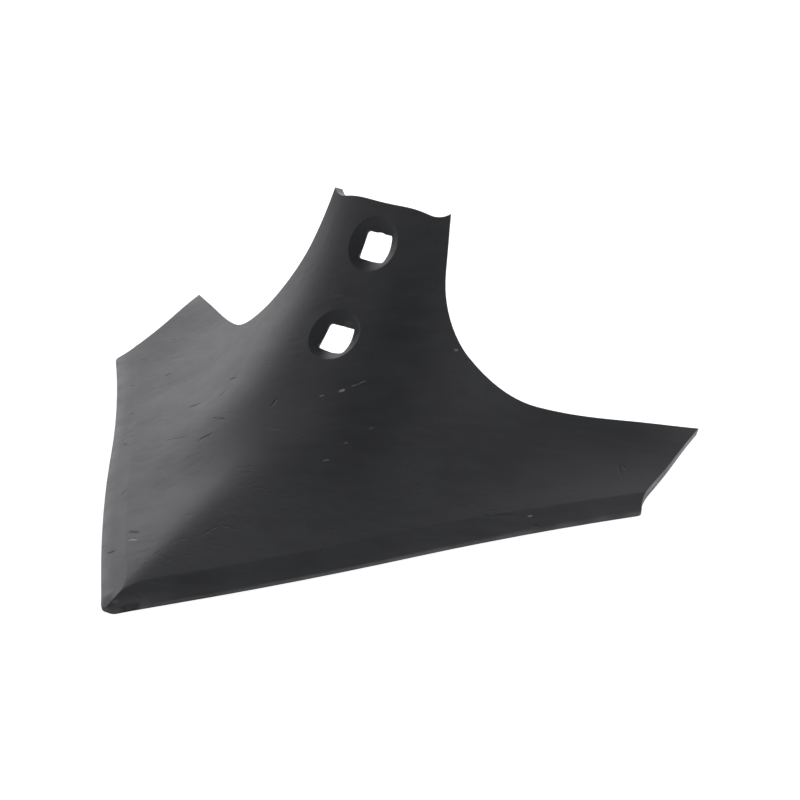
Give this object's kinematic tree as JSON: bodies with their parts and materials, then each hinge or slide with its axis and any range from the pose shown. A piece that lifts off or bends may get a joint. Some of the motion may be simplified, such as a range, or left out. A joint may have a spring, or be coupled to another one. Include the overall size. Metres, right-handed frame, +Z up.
{
  "type": "skimmer share",
  "caption": "Pressed steel share with a rounded ridge, two swept wings with bevelled cutting edges, and a rearward-bent stem with square countersunk bolt holes.",
  "frame": {"origin": "bottom centre of the bounding box, on the plane the two cutting edges rest on", "axes": "+X across the wings, +Y from the nose to the back, +Z up; the share is symmetric about the YZ plane"},
  "size_m": [0.2866, 0.2502, 0.1071],
  "materials": {
    "share": "satin black dip paint over pressed steel, with scuffs"
  },
  "bodies": {
    "root": {"share": "share"}
  },
  "joints": []
}
